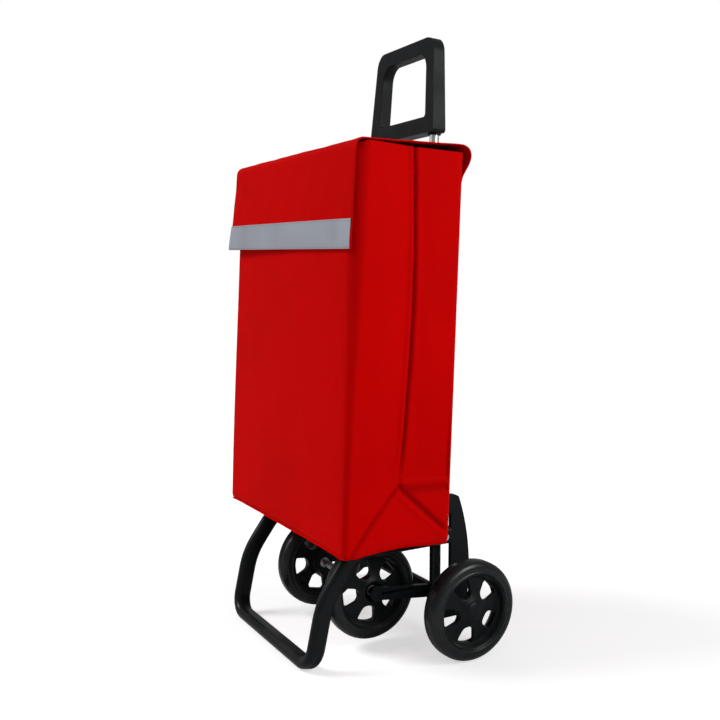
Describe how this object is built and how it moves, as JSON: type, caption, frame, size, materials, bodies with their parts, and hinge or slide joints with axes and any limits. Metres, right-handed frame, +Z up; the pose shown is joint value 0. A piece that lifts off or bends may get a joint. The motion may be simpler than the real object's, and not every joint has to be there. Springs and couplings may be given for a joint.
{
  "type": "shopping trolley",
  "caption": "Upright shopping trolley: tall fabric bag with a flap lid on a tubular frame with a loop stand, a grip and two pairs of wheels.",
  "frame": {"origin": "on the ground, in the middle of the trolley's footprint", "axes": "+Z up, +X to the user's right, +Y to the back where the user stands"},
  "size_m": [0.48, 0.3471, 1.0209],
  "materials": {
    "black_tube": "semi-gloss black paint",
    "black_plastic": "moulded",
    "handle_plastic": "fine moulded grain",
    "steel": "zinc plated",
    "aluminium_tube": "satin anodised",
    "red_fabric": "coated polyester weave",
    "silver_strip": "silver reflective tape",
    "board": "pressed board",
    "webbing": "woven tape",
    "tyre_rubber": "smooth rubber",
    "hub_plastic": "semi-gloss moulded",
    "bush_plastic": "natural nylon"
  },
  "bodies": {
    "frame": {"stand_loop": "black_tube", "loop_plugs": "black_plastic", "loop_bolts": "steel", "leg_left": "black_tube", "leg_right": "black_tube", "skid_left": "black_plastic", "skid_right": "black_plastic", "skid_screws": "black_tube", "lower_bridge": "black_plastic", "tube_left": "aluminium_tube", "tube_right": "aluminium_tube", "handle": "handle_plastic", "rear_axle": "steel", "axle_spacer_left": "black_plastic", "axle_spacer_right": "black_plastic", "rear_axle_washers": "steel", "pivot_washers": "steel", "bag_body": "red_fabric", "bag_base_board": "board", "mouth_binding": "webbing", "hanger_strap": "webbing", "bag_hook_left": "black_plastic", "bag_hook_right": "black_plastic", "lid_back_fold": "red_fabric"},
    "lid": {"lid": "red_fabric", "lid_strip": "silver_strip"},
    "rear_left_wheel": {"rear_left_tyre": "tyre_rubber", "rear_left_hub": "hub_plastic", "rear_left_bush": "bush_plastic", "rear_left_cap": "hub_plastic"},
    "rear_right_wheel": {"rear_right_tyre": "tyre_rubber", "rear_right_hub": "hub_plastic", "rear_right_bush": "bush_plastic", "rear_right_cap": "hub_plastic"},
    "inner_frame": {"link_left": "black_tube", "link_right": "black_tube", "link_sleeve": "black_tube", "aux_axle": "steel", "aux_axle_washers": "steel", "aux_spacers": "black_plastic"},
    "inner_left_wheel": {"aux_left_tyre": "tyre_rubber", "aux_left_hub": "hub_plastic", "aux_left_bush": "bush_plastic"},
    "inner_right_wheel": {"aux_right_tyre": "tyre_rubber", "aux_right_hub": "hub_plastic", "aux_right_bush": "bush_plastic"}
  },
  "joints": [
    {"name": "lid_hinge", "type": "hinge", "parent": "frame", "child": "lid", "pos_m": [0, 0.07407, 0.82045], "axis": [-1, 0, 0], "range_deg": [0, 94]},
    {"name": "rear_left_spin", "type": "hinge", "parent": "frame", "child": "rear_left_wheel", "pos_m": [-0.22, 0.09136, 0.0825], "axis": [1, 0, 0], "continuous": true},
    {"name": "rear_right_spin", "type": "hinge", "parent": "frame", "child": "rear_right_wheel", "pos_m": [0.22, 0.09136, 0.0825], "axis": [1, 0, 0], "continuous": true},
    {"name": "inner_frame_swing", "type": "hinge", "parent": "frame", "child": "inner_frame", "pos_m": [0, 0.09136, 0.0825], "axis": [1, 0, 0], "range_deg": [0, 215]},
    {"name": "inner_left_spin", "type": "hinge", "parent": "inner_frame", "child": "inner_left_wheel", "pos_m": [-0.0905, -0.02063, 0.09605], "axis": [1, 0, 0], "continuous": true},
    {"name": "inner_right_spin", "type": "hinge", "parent": "inner_frame", "child": "inner_right_wheel", "pos_m": [0.0905, -0.02063, 0.09605], "axis": [1, 0, 0], "continuous": true}
  ]
}
